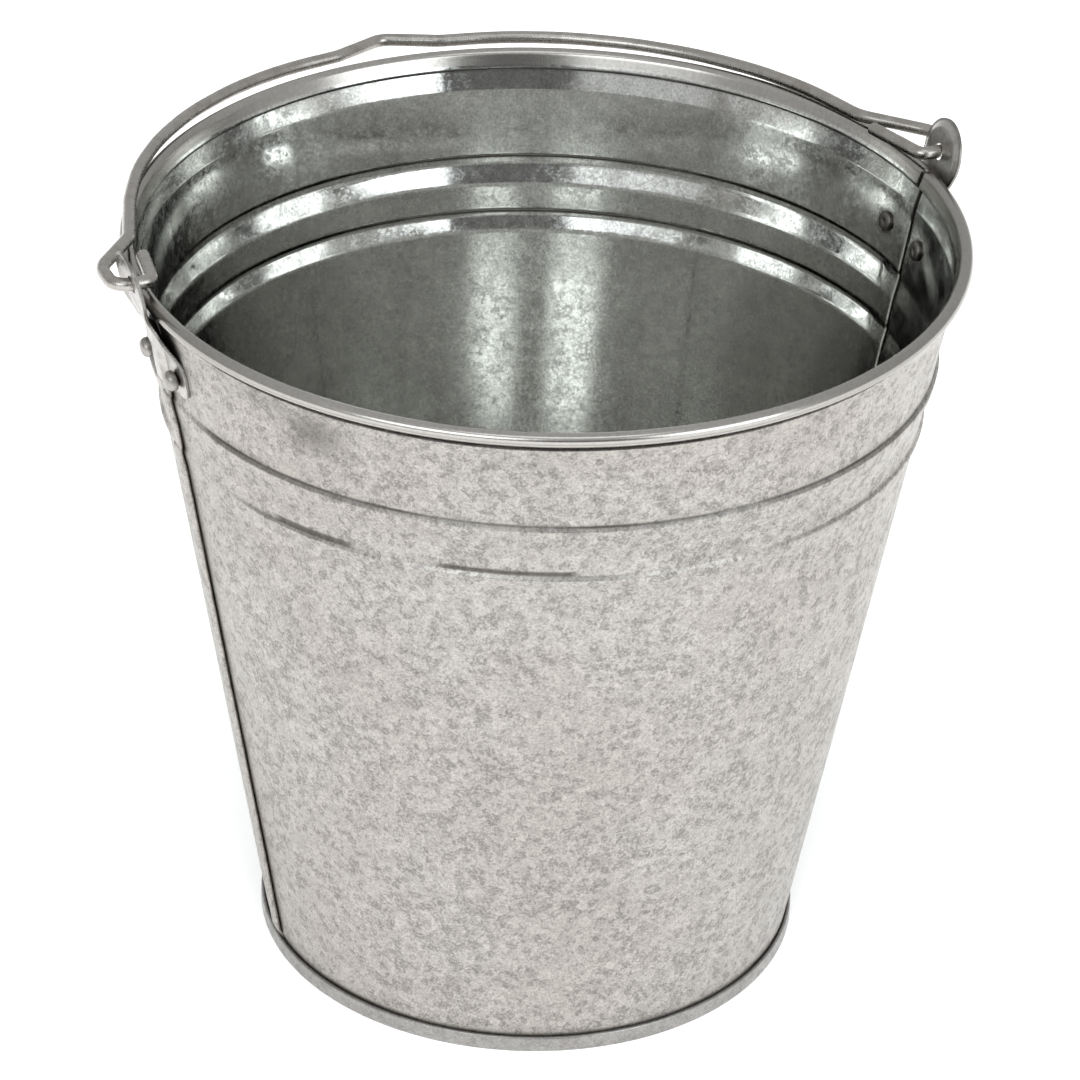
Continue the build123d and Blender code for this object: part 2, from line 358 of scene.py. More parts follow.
def galvanised(name, level, warm, green, roughness, speck_depth, speck_rough, relief, grain):
    """Hot-dip zinc: dull crystals scattered over brighter ones, fine grain and faint clouds.

    The marks stored on the mesh bring in dark dirt and painted shade, and the smoother, rubbed
    metal of the roll.
    """
    n = Nodes(name)
    place = n.warped(420, 2.6)
    crowd = n.noise(38, 3, 0.6)
    single = n.math("ADD", n.cells(2.9, place), n.math("MULTIPLY", crowd, 0.6))
    coarse = n.ramp(single, 0.90, 0.97)
    small = n.math("ADD", n.cells(1.3, place), n.math("MULTIPLY", crowd, 0.45))
    fine = n.ramp(small, 0.91, 0.97)
    specks = n.math("MAXIMUM", coarse, n.math("MULTIPLY", fine, 0.75))
    specks = n.math("MULTIPLY", specks, n.ramp(n.noise(900, 3, 0.7), 0.34, 0.60))
    from_middle = n.math("ABSOLUTE", n.math("SUBTRACT", n.noise(330, 4, 0.7), 0.5))
    curls = n.ramp(from_middle, 0.0, 0.035, 1.0, 0.0)
    clouds = n.ramp(n.noise(9, 4, 0.6), 0.35, 0.7)
    base = n.mix(clouds, grey(level * 0.96, warm, green), grey(level * 1.04, warm * 0.75, green))
    tone = n.ramp(n.noise(1050, 4, 0.8), 0.34, 0.66, 1.0 - grain, 1.0 + grain * 0.6)
    for layer in (
        n.ramp(n.noise(150, 4, 0.6), 0.36, 0.64, 1.0 - grain * 0.35, 1.0),
        n.ramp(n.cells(3.6, place), 0.0, 1.0, 1.0 - grain * 0.6, 1.0),
        n.ramp(curls, 0.0, 1.0, 1.0, 1.0 - grain * 0.9),
        n.ramp(specks, 0.0, 1.0, 1.0, 1.0 - speck_depth),
    ):
        tone = n.math("MULTIPLY", tone, layer)
    colour = n.vector("SCALE", base, scale=tone)
    rubbed = n.attribute("rubbed")
    rubs = n.ramp(n.noise(700, 3, 0.6), 0.3, 0.7, 0.93, 1.05)
    worn = n.vector("SCALE", grey(0.38, 0.055)[:3], scale=rubs)
    colour = n.mix(n.math("MULTIPLY", rubbed, 0.9), colour, worn)
    # Dirt and painted shade from the mesh's marks darken the colour.
    colour = n.mix(n.attribute("dirt_and_painted_shade"), colour, grey(level * 0.14, 0.10))
    rough = n.ramp(n.noise(60, 3, 0.6), 0.3, 0.7, roughness - 0.03, roughness + 0.04)
    rough = n.math("ADD", rough, n.math("MULTIPLY", specks, speck_rough))
    rough = n.ramp(rubbed, 0.0, 1.0, rough, 0.22)
    height = n.math("ADD", n.noise(520, 3, 0.6), n.math("MULTIPLY", specks, -0.25))
    return n.finish(colour, rough, n.bump(height, relief))


# The outer and inner faces are one zinc at different levels: the outer's is lowered as painted
# shade against the bright floor it reflects, and the inner's is raised as painted light for the dim
# inside.
zinc_outside_darkened = galvanised(
    "zinc_outside_darkened", level=0.435, warm=0.070, green=0.0, roughness=0.38,
    speck_depth=0.28, speck_rough=0.16, relief=0.030, grain=0.24,
)
zinc_inside_brightened = galvanised(
    "zinc_inside_brightened", level=0.77, warm=0.016, green=0.016, roughness=0.085,
    speck_depth=0.13, speck_rough=0.12, relief=0.006, grain=0.20,
)
zinc_base = galvanised(
    "zinc_base", level=0.34, warm=0.04, green=0.0, roughness=0.30,
    speck_depth=0.16, speck_rough=0.10, relief=0.020, grain=0.16,
)


def worn_metal(name, level, warm, roughness, blotch, streak=None):
    """Plain worked steel: blotches, fine grain and, on wire, lines along its length."""
    n = Nodes(name)
    blots = n.ramp(n.noise(160, 4, 0.65), 0.42, 0.66)
    grain = n.noise(1500, 3, 0.6)
    light = grey(level, warm)
    dark = grey(level * (1 - blotch), warm * 1.4)
    colour = n.mix(blots, light, dark)
    rough = n.ramp(grain, 0.3, 0.7, roughness - 0.05, roughness + 0.07)
    height = n.math("ADD", n.math("MULTIPLY", grain, 0.5), n.noise(380, 2, 0.5))
    if streak:
        lines = n.tree.nodes.new("ShaderNodeUVMap")
        lines.uv_map = "wire"
        place = n.vector("MULTIPLY", lines.outputs["UV"], streak)
        drawn = n.noise(1.0, 3, 0.6, place)
        colour = n.mix(n.ramp(drawn, 0.45, 0.72), colour, grey(level * 0.76, warm * 1.5))
        height = n.math("ADD", height, n.math("MULTIPLY", drawn, 2.0))
    # Dirt and painted shade from the mesh's marks darken the colour.
    colour = n.mix(n.attribute("dirt_and_painted_shade"), colour, grey(level * 0.2, 0.1))
    return n.finish(colour, rough, n.bump(height, 0.035))


lug_steel = worn_metal("lug_steel", level=0.44, warm=0.04, roughness=0.32, blotch=0.34)
rivet_zinc = worn_metal("rivet_zinc", level=0.33, warm=0.05, roughness=0.36, blotch=0.35)
wire_zinc = worn_metal(
    "wire_zinc", level=0.40, warm=0.05, roughness=0.25, blotch=0.22, streak=(60, 10, 1)
)
core_steel = worn_metal("core_steel", level=0.35, warm=0.0, roughness=0.45, blotch=0.2)


def set_marks(piece, kind, amounts):
    """Store how dark each vertex is painted, with dirt and painted shade, or how rubbed it is, for
    the material to read.
    """
    layer = piece.data.attributes.new(kind, "FLOAT", "POINT")
    layer.data.foreach_set("value", np.asarray(amounts, np.float32))


# Shells -------------------------------------------------------------------------------------

FOLD_CENTRE = 1.72
LIFT = 0.28
SEAM_HALF = 2.5
SEAM_RISE = 3 * LAYER + LIFT
# Places across a seam between which the sheet steps up, in the lock and in the plain lap.
LOCK_STEP = (4.9, 2.2)
LAP_STEP = (5.2, 1.9)
roll_centre = (RIM_RADIUS - ROLL_RADIUS, RIM_HEIGHT - ROLL_RADIUS)

heights = spans(
    (1.6, 6.1, 1.5), (6.1, 12.1, 0.75), (12.1, 15, 1.45), (15, 205, 3.8), (205, 210, 1.25),
    (210, 219, 0.75), (219, 223, 0.25), (223, 231, 1.0), (231, 240.5, 0.76), (240.5, 245, 0.25),
    (245, 263, 1.2), (263, 266.5, 0.5), (266.5, 282.0, 0.25),
)


def blurred(values, window, mode, **how):
    """Values averaged over a window, as many as before."""
    padded = np.pad(values, len(window) // 2, mode=mode, **how)
    return np.convolve(padded, window / window.sum(), "valid")


def lock_share(height):
    """1 where the side seams are locked, 0 near foot and rim, where the sheets only lap."""
    return smooth((height - 7.6) / 3.0) * smooth((264.5 - height) / 3.0)


fine_height = np.arange(0, 284, 0.125)
fine_radius = blurred(wall_radius(fine_height), np.hanning(9)[1:-1], "edge")
wall_face = np.stack([np.interp(heights, fine_height, fine_radius), heights], 1)
wall_line = wall_face - path_normals(wall_face) * SHEET / 2
hook_radius = CHIME_RADIUS - SHEET * 1.5 - 0.03
hook_bend, hook_bottom = 0.25, 1.03
hook_line = np.array([(hook_radius, 5.3), (hook_radius, 3.2), (hook_radius, 1.2)])
hook_turn = arc((hook_radius - hook_bend, hook_bottom), hook_bend, 0, -90, 4)
wall_turn = arc((wall_line[0, 0] + hook_bend, hook_bottom), hook_bend, 270, 180, 4)
curl_line = arc(roll_centre, ROLL_RADIUS - SHEET / 2, CURL_START, CURL_END, 36)
profile = np.concatenate([hook_line, hook_turn, wall_turn, wall_line[:-1], curl_line])
profile_normals = path_normals(profile)
first_wall_row = len(hook_line) + len(hook_turn) + len(wall_turn)
row_height = profile[:, 1]
rows = len(profile)
on_wall = np.zeros(rows)
on_wall[first_wall_row : first_wall_row + len(wall_line) - 1] = 1
seam_state = on_wall * lock_share(row_height)
in_chime = np.arange(rows) < first_wall_row + np.sum(wall_line[:, 1] < 6.4)


def stations():
    """Across the sheet: share of the half turn, then (place, rise) in the lock and in the lap.

    The sheet starts with the fold that hooks outward and ends with the one that hooks inward
    over the other sheet's. Where the sheets only lap, the same points lie flat.
    """
    fold_rise = 2 * LAYER + LIFT
    fold_a = arc((-FOLD_CENTRE, fold_rise / 2), fold_rise / 2, 90, 270, 9)
    flap_a = [(place, fold_rise) for place in (1.3, 0.3, -0.8)]
    flat_a = [(place, 0.0) for place in (-0.9, -0.03, 1.0, 2.5)]
    spread = np.linspace(-SEAM_HALF, -FOLD_CENTRE, len(fold_a))
    spread_a = np.stack([spread, 0 * spread], 1)
    seam_a = np.concatenate([flap_a, fold_a, flat_a])
    lap_a = np.concatenate([[(-SEAM_HALF, 0)] * len(flap_a), spread_a, flat_a])

    t = np.linspace(0, 1, 9)
    before = [(-6.0, 0.0)]
    joggle = np.stack([-LOCK_STEP[0] + LOCK_STEP[1] * t, SEAM_RISE * smooth(t)], 1)
    lap_joggle = np.stack([-LAP_STEP[0] + LAP_STEP[1] * t, LAYER * smooth(t)], 1)
    over = [(place, SEAM_RISE) for place in (-1.1, -0.03, 0.9)]
    lap_over = [(place, LAYER) for place, _ in over]
    fold_b = arc((FOLD_CENTRE, SEAM_RISE - LAYER), LAYER, 90, -90, 9)
    flap_b = [(place, SEAM_RISE - 2 * LAYER) for place in (0.8, -0.3, -1.3)]
    spread = np.linspace(FOLD_CENTRE, SEAM_HALF, len(fold_b))
    spread_b = np.stack([spread, 0 * spread + LAYER], 1)
    seam_b = np.concatenate([before, joggle, over, fold_b, flap_b])
    flat_flap_b = [(SEAM_HALF, LAYER)] * len(flap_b)
    lap_b = np.concatenate([before, lap_joggle, lap_over, spread_b, flat_flap_b])

    body = np.linspace(0, 1, 150)[1:-1]
    body_line = np.stack([4.5 - 10.6 * body, 0 * body], 1)
    share = np.concatenate([np.zeros(len(seam_a)), body, np.ones(len(seam_b))])
    seam = np.concatenate([seam_a, body_line, seam_b])
    lap = np.concatenate([lap_a, body_line, lap_b])
    # The flaps are cut away where the sheets only lap, and the overlaps too in the foot seam.
    plain = len(flat_a) - 1 + len(body) + len(joggle) + len(over)
    kind = np.array(
        ["flap"] * len(flap_a) + ["overlap"] * (len(fold_a) + 1) + ["plain"] * plain
        + ["overlap"] * (len(fold_b) + 1) + ["flap"] * len(flap_b)
    )
    return share, seam, lap, kind


def make_shell(name, node, turn):
    """One half of the body, from its left seam round to its right one, turned about Z."""
    share, seam, lap, kind = stations()
    state = seam_state[:, None]
    place = state * seam[:, 0] + (1 - state) * lap[:, 0]
    rise = state * seam[:, 1] + (1 - state) * lap[:, 1]
    run = np.gradient(place + share * 400, axis=1)
    climb = np.gradient(rise, axis=1)
    length = np.hypot(run, climb)
    length[length < 1e-9] = 1
    across, out = -climb / length, run / length
    radius = profile[:, 0][:, None]
    faces_points = []
    for half in (SHEET / 2, -SHEET / 2):
        shift = rise + half * out
        point_radius = radius + shift * profile_normals[:, 0][:, None]
        point_height = row_height[:, None] + shift * profile_normals[:, 1][:, None]
        angle = -pi + share * pi + (place + half * across) / radius + turn
        flattened = (bead_fade(angle, point_height) - 1) * bead_rise(point_height)
        point_radius = point_radius + (dents(angle, point_height) + flattened) * on_wall[:, None]
        faces_points.append(turned(point_radius, point_height, angle).reshape(-1, 3))
    seam_rows = seam_state > 0.5
    cell_seam = seam_rows[1:] & seam_rows[:-1]
    cell_chime = in_chime[1:] | in_chime[:-1]
    cell_kind = np.where(
        (kind[1:] == "flap") | (kind[:-1] == "flap"), "flap",
        np.where((kind[1:] == "overlap") | (kind[:-1] == "overlap"), "overlap", "plain"),
    )
    present = np.ones((rows - 1, len(share) - 1), bool)
    present &= ~((cell_kind == "flap")[None, :] & ~cell_seam[:, None])
    present &= ~((cell_kind != "plain")[None, :] & cell_chime[:, None])
    faces, sides = sheet_faces(present, wrap=False)
    points = np.concatenate(faces_points)
    return add_piece(
        name, points, faces, "bucket", [node], [zinc_outside_darkened, zinc_inside_brightened], sides
    )


# Painted shade on each bead: on its upper flank, dulling its highlight, and in the crease above it.
BEAD_PAINTED_SHADE = ((0.0, 0.08), (0.25, 1.0))
# Painted shade in dashes along the lower bead's crease: first and last angle in degrees, and
# height.
DASHES = ((-128, -107.5, 223.7), (-155, -141, 223.3))
# Smudges under the rim: angle, height, half width in degrees, half height and strength.
SMUDGES = ((-145, 267, 4.5, 9, 0.6), (-152, 273, 6, 4, 0.35), (-115, 270, 6, 4, 0.18))


def peak(value, centre, width):
    """A smooth bump of height 1."""
    return np.exp(-(((value - centre) / width) ** 2))


def outside_dirt_and_shade(x, y, z, angle, across):
    """Darkening of the outer face: painted shade on the beads, in the dashes and behind the ears,
    and dirt in the smudges. Angles in degrees.
    """
    layers = []
    off_seam = smooth((np.abs(across) - 12) / 20)
    # Painted shade on each bead's upper flank and in its crease.
    for (_, _, brink, high, _), (flank, crease) in zip(BEADS, BEAD_PAINTED_SHADE):
        patchy = off_seam * (0.82 + 0.18 * np.sin(angle * 0.31 + high) * np.sin(angle * 0.13))
        layers.append(flank * smooth((z - brink + 0.4) / 0.5) * smooth((high + 0.3 - z) / 0.4))
        layers.append(crease * patchy * peak(z, high - 0.1, 0.5))
    # Painted shade in dashes along the lower bead's crease.
    for first, last, height in DASHES:
        ends = smooth((angle - first) / 1.0) * smooth((last - angle) / 0.8)
        layers.append(0.85 * ends * smooth((1.4 - np.abs(z - height)) / 0.8))
    for centre, height, wide, tall, depth in SMUDGES:
        layers.append(depth * peak(angle, centre, wide) * peak(z, height, tall) * (z < 279))
    # Painted shadow in the gap behind each ear.
    from_side = np.abs(y)
    behind_ear = (z > 264) & (z < 279) & (np.abs(x) > 120)
    layers.append(0.8 * behind_ear * smooth((from_side - 6) / 3) * smooth((19 - from_side) / 5))
    return np.max(layers, axis=0)


def inside_painted_shade(y, z, radius, across):
    """Painted shade on the inner face: seam gap, groove under the roll, beads and round the rivets.
    """
    # Painted shade in the seam's gap and in the groove under the roll.
    gap = smooth((across - 2.35) / 0.2) * smooth((4.6 - across) / 0.8) * (z > 12)
    layers = [0.85 * gap, 0.85 * peak(z, 277.2, 1.0) * (radius < roll_centre[0])]
    for _, _, _, high, _ in BEADS:
        layers.append(0.6 * peak(z, high - 1.2, 0.8))
    # Painted shadow round the rivets' inner heads.
    from_rivet = np.hypot((np.abs(y) - 146 * sin(RIVET_ANGLE)) * 0.9, z - RIVET_HEIGHT)
    layers.append(0.85 * smooth((5.6 - from_rivet) / 1.4))
    return np.max(layers, axis=0)


def roll_painted_shade(z, radius, angle):
    """Painted shade on the rolled rim: underneath, a painted dark reflection in a line along it,
    and thinly on both sides.
    """
    section_angle = np.degrees(np.arctan2(z - roll_centre[1], radius - roll_centre[0]))
    rolled = z > 278
    under = rolled & (z < roll_centre[1]) & (radius > roll_centre[0] - 1.8)
    outer = rolled & (radius > roll_centre[0])
    from_front = np.abs((angle + 293.5) % 360 - 180)
    sides = smooth((from_front - 25) / 30) * smooth((140 - from_front) / 30)
    return np.max([
        0.9 * under * smooth((-74 - section_angle) / 10),
        0.5 * outer * peak(section_angle, -14, 7),
        0.30 * sides * (z > 279) * (radius > roll_centre[0] - 2.6),
    ], axis=0)


def shell_marks(piece):
    """How dark a shell is painted at each vertex, with dirt and painted shade, and how rubbed it
    is.
    """
    x, y, z = vertex_places(piece)
    angle = np.degrees(np.arctan2(y, x))
    radius = np.hypot(x, y)
    across = radius * np.radians(np.minimum(np.abs(angle), 180 - np.abs(angle)))
    across = across * np.where((x * y) < 0, 1, -1)
    locked = lock_share(z)
    step = SEAM_RISE * smooth((LOCK_STEP[0] - across) / LOCK_STEP[1]) * locked
    step = step + LAYER * smooth((LAP_STEP[0] - across) / LAP_STEP[1]) * (1 - locked)
    flattened = (bead_fade(np.radians(angle), z) - 1) * bead_rise(z)
    middle = wall_radius(z) + flattened - SHEET / 2
    outside = radius > middle + step * (across > 2.3)
    outer_dirt_and_shade = outside_dirt_and_shade(x, y, z, angle, across)
    darkening = np.where(outside, outer_dirt_and_shade, inside_painted_shade(y, z, radius, across))
    rubbed = smooth((z - 278.5) / 1.5)
    return np.maximum(darkening, roll_painted_shade(z, radius, angle)), rubbed


for side, turn in (("front_shell", 0), ("back_shell", pi)):
    shell = make_shell(side + "_sheet", side, turn)
    darkening, rubbed = shell_marks(shell)
    set_marks(shell, "dirt_and_painted_shade", darkening)
    set_marks(shell, "rubbed", rubbed)

# Rim core and base plate --------------------------------------------------------------------


def make_revolved(name, path, node, material, columns):
    """A sheet turned about the bucket's axis, along a path in the radius-height plane."""
    normals = path_normals(path)
    angle = np.linspace(0, 2 * pi, columns, endpoint=False)[None, :]
    faces_points = []
    for half in (SHEET / 2, -SHEET / 2):
        line = path + half * normals
        points = turned(line[:, :1] + 0 * angle, line[:, 1:] + 0 * angle, angle)
        faces_points.append(points.reshape(-1, 3))
    faces, _ = sheet_faces(np.ones((len(path) - 1, columns), bool), wrap=True)
    return add_piece(
        name, np.concatenate(faces_points), faces, "bucket", [node], [material]
    )


def make_ring(name, centre, radius, node, material):
    """A wire ring about the bucket's axis."""
    around, section = 180, 16
    angle = np.linspace(0, 2 * pi, around, endpoint=False)[:, None]
    loop = np.linspace(0, 2 * pi, section, endpoint=False)[None, :]
    points = turned(
        centre[0] + radius * np.cos(loop) + 0 * angle,
        centre[1] + radius * np.sin(loop) + 0 * angle,
        angle + 0 * loop,
    )
    faces = []
    for i in range(around):
        here, ahead = i * section, (i + 1) % around * section
        for j in range(section):
            k = (j + 1) % section
            faces.append((here + j, here + k, ahead + k, ahead + j))
    return add_piece(name, points.reshape(-1, 3), faces, "bucket", [node], [material])


RIM_WIRE_RADIUS = 1.75
rim_core = make_ring(
    "rim_core_wire", roll_centre, RIM_WIRE_RADIUS, "rim_wire", core_steel
)
set_marks(rim_core, "dirt_and_painted_shade", np.zeros(len(rim_core.data.vertices)))

outer_layer = CHIME_RADIUS - SHEET / 2
inner_layer = CHIME_WALL_RADIUS + 0.03 + SHEET / 2
base_wall = CHIME_WALL_RADIUS - 1.5 * SHEET - 0.03
FOLD_HEIGHT = 5.5
base_ring_height = BASE_HEIGHT + 1.2
base_corners = [
    (0.4, BASE_HEIGHT), (60, BASE_HEIGHT), (62.4, base_ring_height), (71.6, base_ring_height),
    (74, BASE_HEIGHT), (base_wall, BASE_HEIGHT), (base_wall, SHEET / 2), (outer_layer, SHEET / 2),
    (outer_layer, FOLD_HEIGHT - 0.01),
]
base_line = rounded(base_corners, [0, 5, 3, 3, 5, 1.3, 0.6, 0.8, 0], step=0.35)
fold_centre, fold_radius = (outer_layer + inner_layer) / 2, (outer_layer - inner_layer) / 2
base_fold = arc((fold_centre, FOLD_HEIGHT), fold_radius, 0, 180, 9)
base_end = np.array([(inner_layer, 4.0), (inner_layer, 2.6), (inner_layer, 1.35)])
# Points that nearly coincide are dropped, and so are most of those where the plate is flat.
keep = np.concatenate([[True], np.linalg.norm(np.diff(base_line, axis=0), axis=1) > 0.05])
base_line = base_line[keep]
flat = (base_line[:, 0] < 58) | ((base_line[:, 0] > 76) & (base_line[:, 0] < 94))
base_line = base_line[~flat | (np.arange(len(base_line)) % 12 == 0)]
base_path = np.concatenate([base_line, base_fold, base_end])
base = make_revolved("base_plate_seamed", base_path, "base_plate", zinc_base, 240)
base_x, base_y, base_z = vertex_places(base)
base_radius = np.hypot(base_x, base_y)
# Painted shade on the base plate's fold, in the corner where it meets the wall.
by_wall = (base_radius > 98.4) & (base_z > 5.2) & (base_z < 7)
set_marks(base, "dirt_and_painted_shade", 0.8 * by_wall * smooth((99.2 - base_radius) / 0.4))

# Ears ---------------------------------------------------------------------------------------

EAR_SHEET = 1.0
EAR_LOW = 250.5
EAR_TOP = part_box("right_ear")[1].z / MM
TAB_RADIUS = 12.9
TAB_SHIFT = (-1.3, -0.6)
HOLE_RADIUS = 3.1
EAR_FOOT_HALF = 20.0
EAR_BEND = 263.5
EAR_GAP = 0.05
# The ear's inner face in the XZ plane: along the wall, out past the roll, then up the tab.
ear_levels = [EAR_LOW - 5, EAR_BEND, 281.0, EAR_TOP + 1]
ear_radii = [wall_radius(EAR_LOW - 5) + EAR_GAP, wall_radius(EAR_BEND) + EAR_GAP, 151.1, 155.7]
fine_levels = np.arange(240.0, 310.0, 0.25)
fine_radii = np.interp(fine_levels, ear_levels, ear_radii)
low_slope = (ear_radii[1] - ear_radii[0]) / (ear_levels[1] - ear_levels[0])
below = fine_levels < ear_levels[0]
fine_radii[below] = ear_radii[0] + (fine_levels[below] - ear_levels[0]) * low_slope
fine_radii = blurred(fine_radii, np.hanning(19), "reflect", reflect_type="odd")


def ear_surface(y, z, edge):
    """Distance from the YZ plane to the ear's inner face, edge mm in from its outline."""
    radius = np.interp(z, fine_levels, fine_radii)
    curved = smooth((276 - z) / 12)
    over_seam = smooth((5.2 - np.abs(y)) / 1.9) * smooth((274 - z) / 9)
    lip = smooth((3.2 - edge) / 2.6) * smooth((z - 274) / 6)
    neck_lip = 0.5 * smooth((2.2 - edge) / 2.0) * smooth((z - 266) / 5) * smooth((280 - z) / 5)
    return radius - curved * y**2 / (2 * radius) + 2.05 * over_seam + 0.95 * lip + neck_lip


def ear_outline():
    """The blank's outline in the YZ plane: foot, shoulders, waist and round tab."""
    centre_y, centre_z = TAB_SHIFT[0], HINGE_HEIGHT + TAB_SHIFT[1]
    tab = arc((centre_y, centre_z), TAB_RADIUS, -22, 202, 60)
    side = [(11.0, 277.5), (11.6, 272.0), (EAR_FOOT_HALF, 262.0), (EAR_FOOT_HALF, EAR_LOW)]
    mirrored = [(-y, z) for y, z in side]
    radii = [0, 9, 7, 4.5, 4, 0]
    right = rounded([tab[0] + (0.2, 1.0), *side, (0, EAR_LOW)], radii, step=0.7)
    left = rounded([tab[-1] + (-0.2, 1.0), *mirrored, (0, EAR_LOW)], radii, step=0.7)
    loop = np.concatenate([tab[1:-1], left[1:], right[::-1][1:-1]])
    loop = np.concatenate([loop, loop[:1]])
    gaps = np.linalg.norm(np.diff(loop, axis=0), axis=1)
    along = np.concatenate([[0], np.cumsum(gaps)])
    samples = np.linspace(0, along[-1], 281)[:-1]
    loop = np.stack([np.interp(samples, along, loop[:, k]) for k in range(2)], 1)
    kernel = np.array([1, 2, 1]) / 4
    wrapped = np.concatenate([loop[-1:], loop, loop[:1]])
    return np.stack([np.convolve(wrapped[:, k], kernel, "valid") for k in range(2)], 1)


HOLE_CENTRE = np.array([0, HINGE_HEIGHT])


def ear_lattice(outline):
    """Rings of points in the YZ plane, from the bail's hole out to the outline."""
    count = len(outline)
    away = np.linalg.norm(outline - HOLE_CENTRE, axis=1)
    steps = np.linalg.norm(np.roll(outline, -1, 0) - outline, axis=1) / away
    angle = np.concatenate([[0], np.cumsum(steps)[:-1]]) / steps.sum() * 2 * pi
    angle = angle + np.arctan2(outline[0, 1] - HOLE_CENTRE[1], outline[0, 0] - HOLE_CENTRE[0])
    # The rings are turned so that the outline's lowest point stays straight below the hole.
    lowest = np.argmin(np.abs(outline[:, 0]) + 100 * (outline[:, 1] > EAR_LOW + 5))
    angle = angle + (-pi / 2 - angle[lowest] + 2 * pi) * smooth(
        1 - np.abs(np.arange(count) - lowest) / (count / 2)
    )
    hole = HOLE_CENTRE + HOLE_RADIUS * np.stack([np.cos(angle), np.sin(angle)], 1)
    pull = smooth((274 - outline[:, 1]) / 9)[:, None]
    waist = np.stack([0.38 * outline[:, 0], 0 * away + 273.5], 1)
    middle = (1 - pull) * (hole + outline) / 2 + pull * waist
    near_hole, near_edge = [0, 0.012, 0.03], [0.925, 0.95, 0.97, 0.985, 0.995, 1]
    t = np.concatenate([near_hole, np.linspace(0.06, 0.9, 26), near_edge])[:, None, None]
    return (1 - t) ** 2 * hole + 2 * t * (1 - t) * middle + t**2 * outline


def make_ear(name, node, side):
    """A pressed lug: side is 1 on the right and -1 on the left, its mirror image."""
    outline = ear_outline()
    flat = ear_lattice(outline)
    y, z = flat[..., 0], flat[..., 1]
    edge = np.min(
        np.linalg.norm(flat[:, :, None, :] - outline[None, None, ::2, :], axis=3), axis=2
    )
    x = ear_surface(y, z, edge)
    reach = 0.3
    slope_y = (ear_surface(y + reach, z, edge) - ear_surface(y - reach, z, edge)) / (2 * reach)
    slope_z = (ear_surface(y, z + reach, edge) - ear_surface(y, z - reach, edge)) / (2 * reach)
    normal = np.stack([1 + 0 * slope_y, -slope_y, -slope_z], -1)
    normal /= np.linalg.norm(normal, axis=-1, keepdims=True)
    inner = np.stack([x, y, z], -1)
    mid = inner + normal * EAR_SHEET / 2
    from_rim = np.minimum(edge, np.linalg.norm(flat - HOLE_CENTRE, axis=-1) - HOLE_RADIUS)
    half = EAR_SHEET / 2 * (0.72 + 0.28 * smooth(from_rim / 0.4))
    points = []
    for sign in (1, -1):
        face = mid + sign * normal * half[..., None]
        face[..., 0] *= side
        points.append(face.reshape(-1, 3))
    faces, _ = sheet_faces(np.ones((len(flat) - 1, len(outline)), bool), wrap=True)
    piece = add_piece(
        name, np.concatenate(points), faces, "bucket", [node], [lug_steel], crease=50
    )
    # Darker along the ear's edge, fading in above 262 mm.
    darkening = 0.55 * smooth((1.5 - edge) / 1.3) * smooth((z - 262) / 8)
    set_marks(piece, "dirt_and_painted_shade", np.tile(darkening.ravel(), 2))


make_ear("right_ear_pressed", "right_ear", 1)
make_ear("left_ear_pressed", "left_ear", -1)

# Rivets -------------------------------------------------------------------------------------


SHANK_RADIUS = 2.0
DOME_RADIUS = 2.6


def make_rivet(name, node, angle):
    """Button head outside the ear, shank, and a flat formed head inside the wall."""
    base = EAR_SHEET + 2 * EAR_GAP
    outline = [(0.0, base + 4.3), *arc((1.05, base + 1.7), DOME_RADIUS, 82, -20, 16)]
    outline += [(3.1, base + 0.55), (2.7, base + 0.2), (2.3, base + 0.05)]
    outline += [(SHANK_RADIUS, base - 0.1), (SHANK_RADIUS, -SHEET)]
    outline += [(3.55, -SHEET - 0.02), (3.6, -SHEET - 0.35)]
    outline += list(arc((2.9, -SHEET - 0.75), 0.7, 0, -80, 6))
    outline += [(1.9, -SHEET - 1.55), (1.2, -SHEET - 1.5), (0.6, -SHEET - 1.35)]
    outline = np.array(outline + [(0.0, -SHEET - 1.3)])
    columns = 40
    turn = np.linspace(0, 2 * pi, columns, endpoint=False)
    axis = np.array([cos(angle) * cos(WALL_TILT), sin(angle) * cos(WALL_TILT), -sin(WALL_TILT)])
    across = np.array([-sin(angle), cos(angle), 0])
    up = np.cross(axis, across)
    radius = float(wall_radius(RIVET_HEIGHT))
    root = np.array([radius * cos(angle), radius * sin(angle), RIVET_HEIGHT])
    spin = across * np.cos(turn)[:, None] + up * np.sin(turn)[:, None]
    uneven = 1 + 0.02 * np.sin(2 * turn + angle * 9) + 0.015 * np.sin(3 * turn + angle)
    points = [root + axis * outline[0, 1]]
    for r, w in outline[1:-1]:
        points.extend(root + axis * w + spin * (r * uneven)[:, None])
    points.append(root + axis * outline[-1, 1])
    rings = len(outline) - 2
    last = len(points) - 1
    faces = [(0, 1 + j, 1 + (j + 1) % columns) for j in range(columns)]
    for i in range(rings - 1):
        here, below = 1 + i * columns, 1 + (i + 1) * columns
        for j in range(columns):
            k = (j + 1) % columns
            faces.append((here + j, below + j, below + k, here + k))
    tail = 1 + (rings - 1) * columns
    faces += [(tail + j, last, tail + (j + 1) % columns) for j in range(columns)]
    piece = add_piece(name, points, faces, "bucket", [node], [rivet_zinc], crease=60)
    along = np.concatenate([outline[:1, 1], np.repeat(outline[1:-1, 1], columns), outline[-1:, 1]])
    # Painted shade in a ring under the button head; the inner head is darker all over.
    darkening = 0.8 * smooth((base + 0.7 - along) / 0.5) * (along > -SHEET - 0.5)
    set_marks(piece, "dirt_and_painted_shade", darkening + 0.65 * (along < -SHEET - 0.4))


